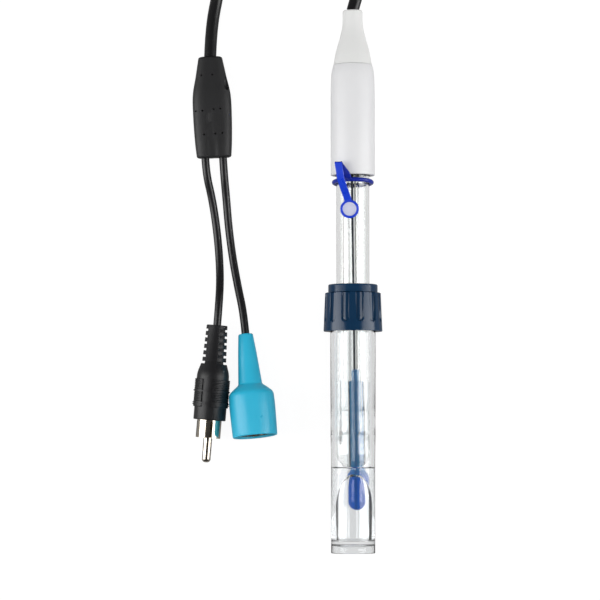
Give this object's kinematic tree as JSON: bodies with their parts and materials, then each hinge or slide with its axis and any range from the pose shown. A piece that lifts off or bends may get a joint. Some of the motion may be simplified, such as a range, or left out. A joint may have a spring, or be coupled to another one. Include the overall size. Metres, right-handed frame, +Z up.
{
  "type": "ph electrode",
  "caption": "Glass combination electrode with white head, capped clear storage bottle, cable, splitter and two plugs, lying down.",
  "frame": {"origin": "on the surface that the electrode lies on, under the middle of the electrode in its bottle", "axes": "+Y along the electrode towards its cable, +Z up, +X to the right as the cable end points away"},
  "size_m": [0.0715, 0.273, 0.0214],
  "materials": {
    "head_white": "white moulded plastic, satin",
    "boot_white": "off-white soft plastic, matt",
    "cable_black": "black cable sheath, slight sheen",
    "core_colours": "insulated cores",
    "sleeve_black": "shrunk sleeve",
    "resin": "brown-grey potting resin",
    "stem_glass": "clear glass",
    "inner_glass": "clear glass, thin bulb",
    "seal_rubber": "soft plug",
    "gel_blue": "blue gel filling",
    "silver_wire": "darkened silver wire",
    "sensor_dark": "dark sensor lead",
    "reference_fill": "clear reference electrolyte",
    "ceramic": "porous white ceramic",
    "silicone_blue": "blue silicone",
    "bottle_clear": "clear moulded plastic",
    "solution_clear": "clear storage solution",
    "cap_blue": "dark blue moulded plastic",
    "gasket_grey": "soft gasket",
    "tie_black": "cable tie strap",
    "moulded_black": "black moulded vinyl",
    "nickel": "nickel plating",
    "spring_steel": "spring washer",
    "insulator_dark": "dark insulator",
    "insulator_white": "white dielectric",
    "contact_gold": "gold plated contact",
    "seal_ring": "silicone seal ring",
    "boot_blue": "light blue soft boot"
  },
  "bodies": {
    "electrode": {"head_shell": "head_white", "cable_boot": "boot_white", "cable_tail": "cable_black", "cable_run_head": "cable_black", "cable_coil": "cable_black", "cable_run_split": "cable_black", "rca_lead": "cable_black", "bnc_lead": "cable_black", "bnc_lead_tail": "cable_black", "cable_cores": "core_colours", "core_sleeves": "sleeve_black", "head_potting": "resin", "stem_tube": "stem_glass", "inner_tube": "inner_glass", "stem_seal": "seal_rubber", "inner_gel": "gel_blue", "inner_wire": "silver_wire", "reference_wire": "silver_wire", "temperature_sensor": "sensor_dark", "reference_electrolyte": "reference_fill", "ceramic_junction": "ceramic", "stopper_band": "silicone_blue", "coil_tie": "tie_black", "splitter": "moulded_black", "rca_body": "moulded_black", "rca_ground_ring": "nickel", "rca_pin": "nickel", "bnc_body": "nickel", "bnc_ferrule": "nickel", "bnc_spring": "spring_steel", "rca_insulator": "insulator_dark", "bnc_insulator": "insulator_white", "bnc_pin": "contact_gold", "bnc_gasket": "seal_ring"},
    "storage_bottle": {"bottle": "bottle_clear", "storage_solution": "solution_clear"},
    "gasket": {"cap_gasket": "gasket_grey"},
    "screw_cap": {"bottle_cap": "cap_blue"},
    "stopper": {"stopper_plug": "silicone_blue"},
    "bnc_grip": {"bnc_boot": "boot_blue", "bnc_coupling_ring": "nickel"}
  },
  "joints": [
    {"name": "bottle_slide", "type": "slide", "parent": "electrode", "child": "storage_bottle", "axis": [0, -0.9995, 0.0303], "range_m": [0, 0.085]},
    {"name": "cap_lift", "type": "slide", "parent": "storage_bottle", "child": "gasket", "axis": [0, 0.9995, -0.0303], "range_m": [0, 0.0045]},
    {"name": "cap_turn", "type": "hinge", "parent": "gasket", "child": "screw_cap", "pos_m": [0, -0.01851, 0.0107], "axis": [0, 0.9995, -0.0303], "range_deg": [0, 540]},
    {"name": "stopper_swing", "type": "hinge", "parent": "electrode", "child": "stopper", "pos_m": [-0.0054, 0.04247, 0.01905], "axis": [-1, 0, 0], "range_deg": [0, 110]},
    {"name": "bnc_turn", "type": "hinge", "parent": "electrode", "child": "bnc_grip", "pos_m": [-0.03925, -0.0194, 0.00583], "axis": [0.0952, -0.989, 0.1132], "continuous": true}
  ],
  "couplings": [
    {"joint": "cap_lift", "follows": "cap_turn", "m_per_rad": 0.000477}
  ]
}
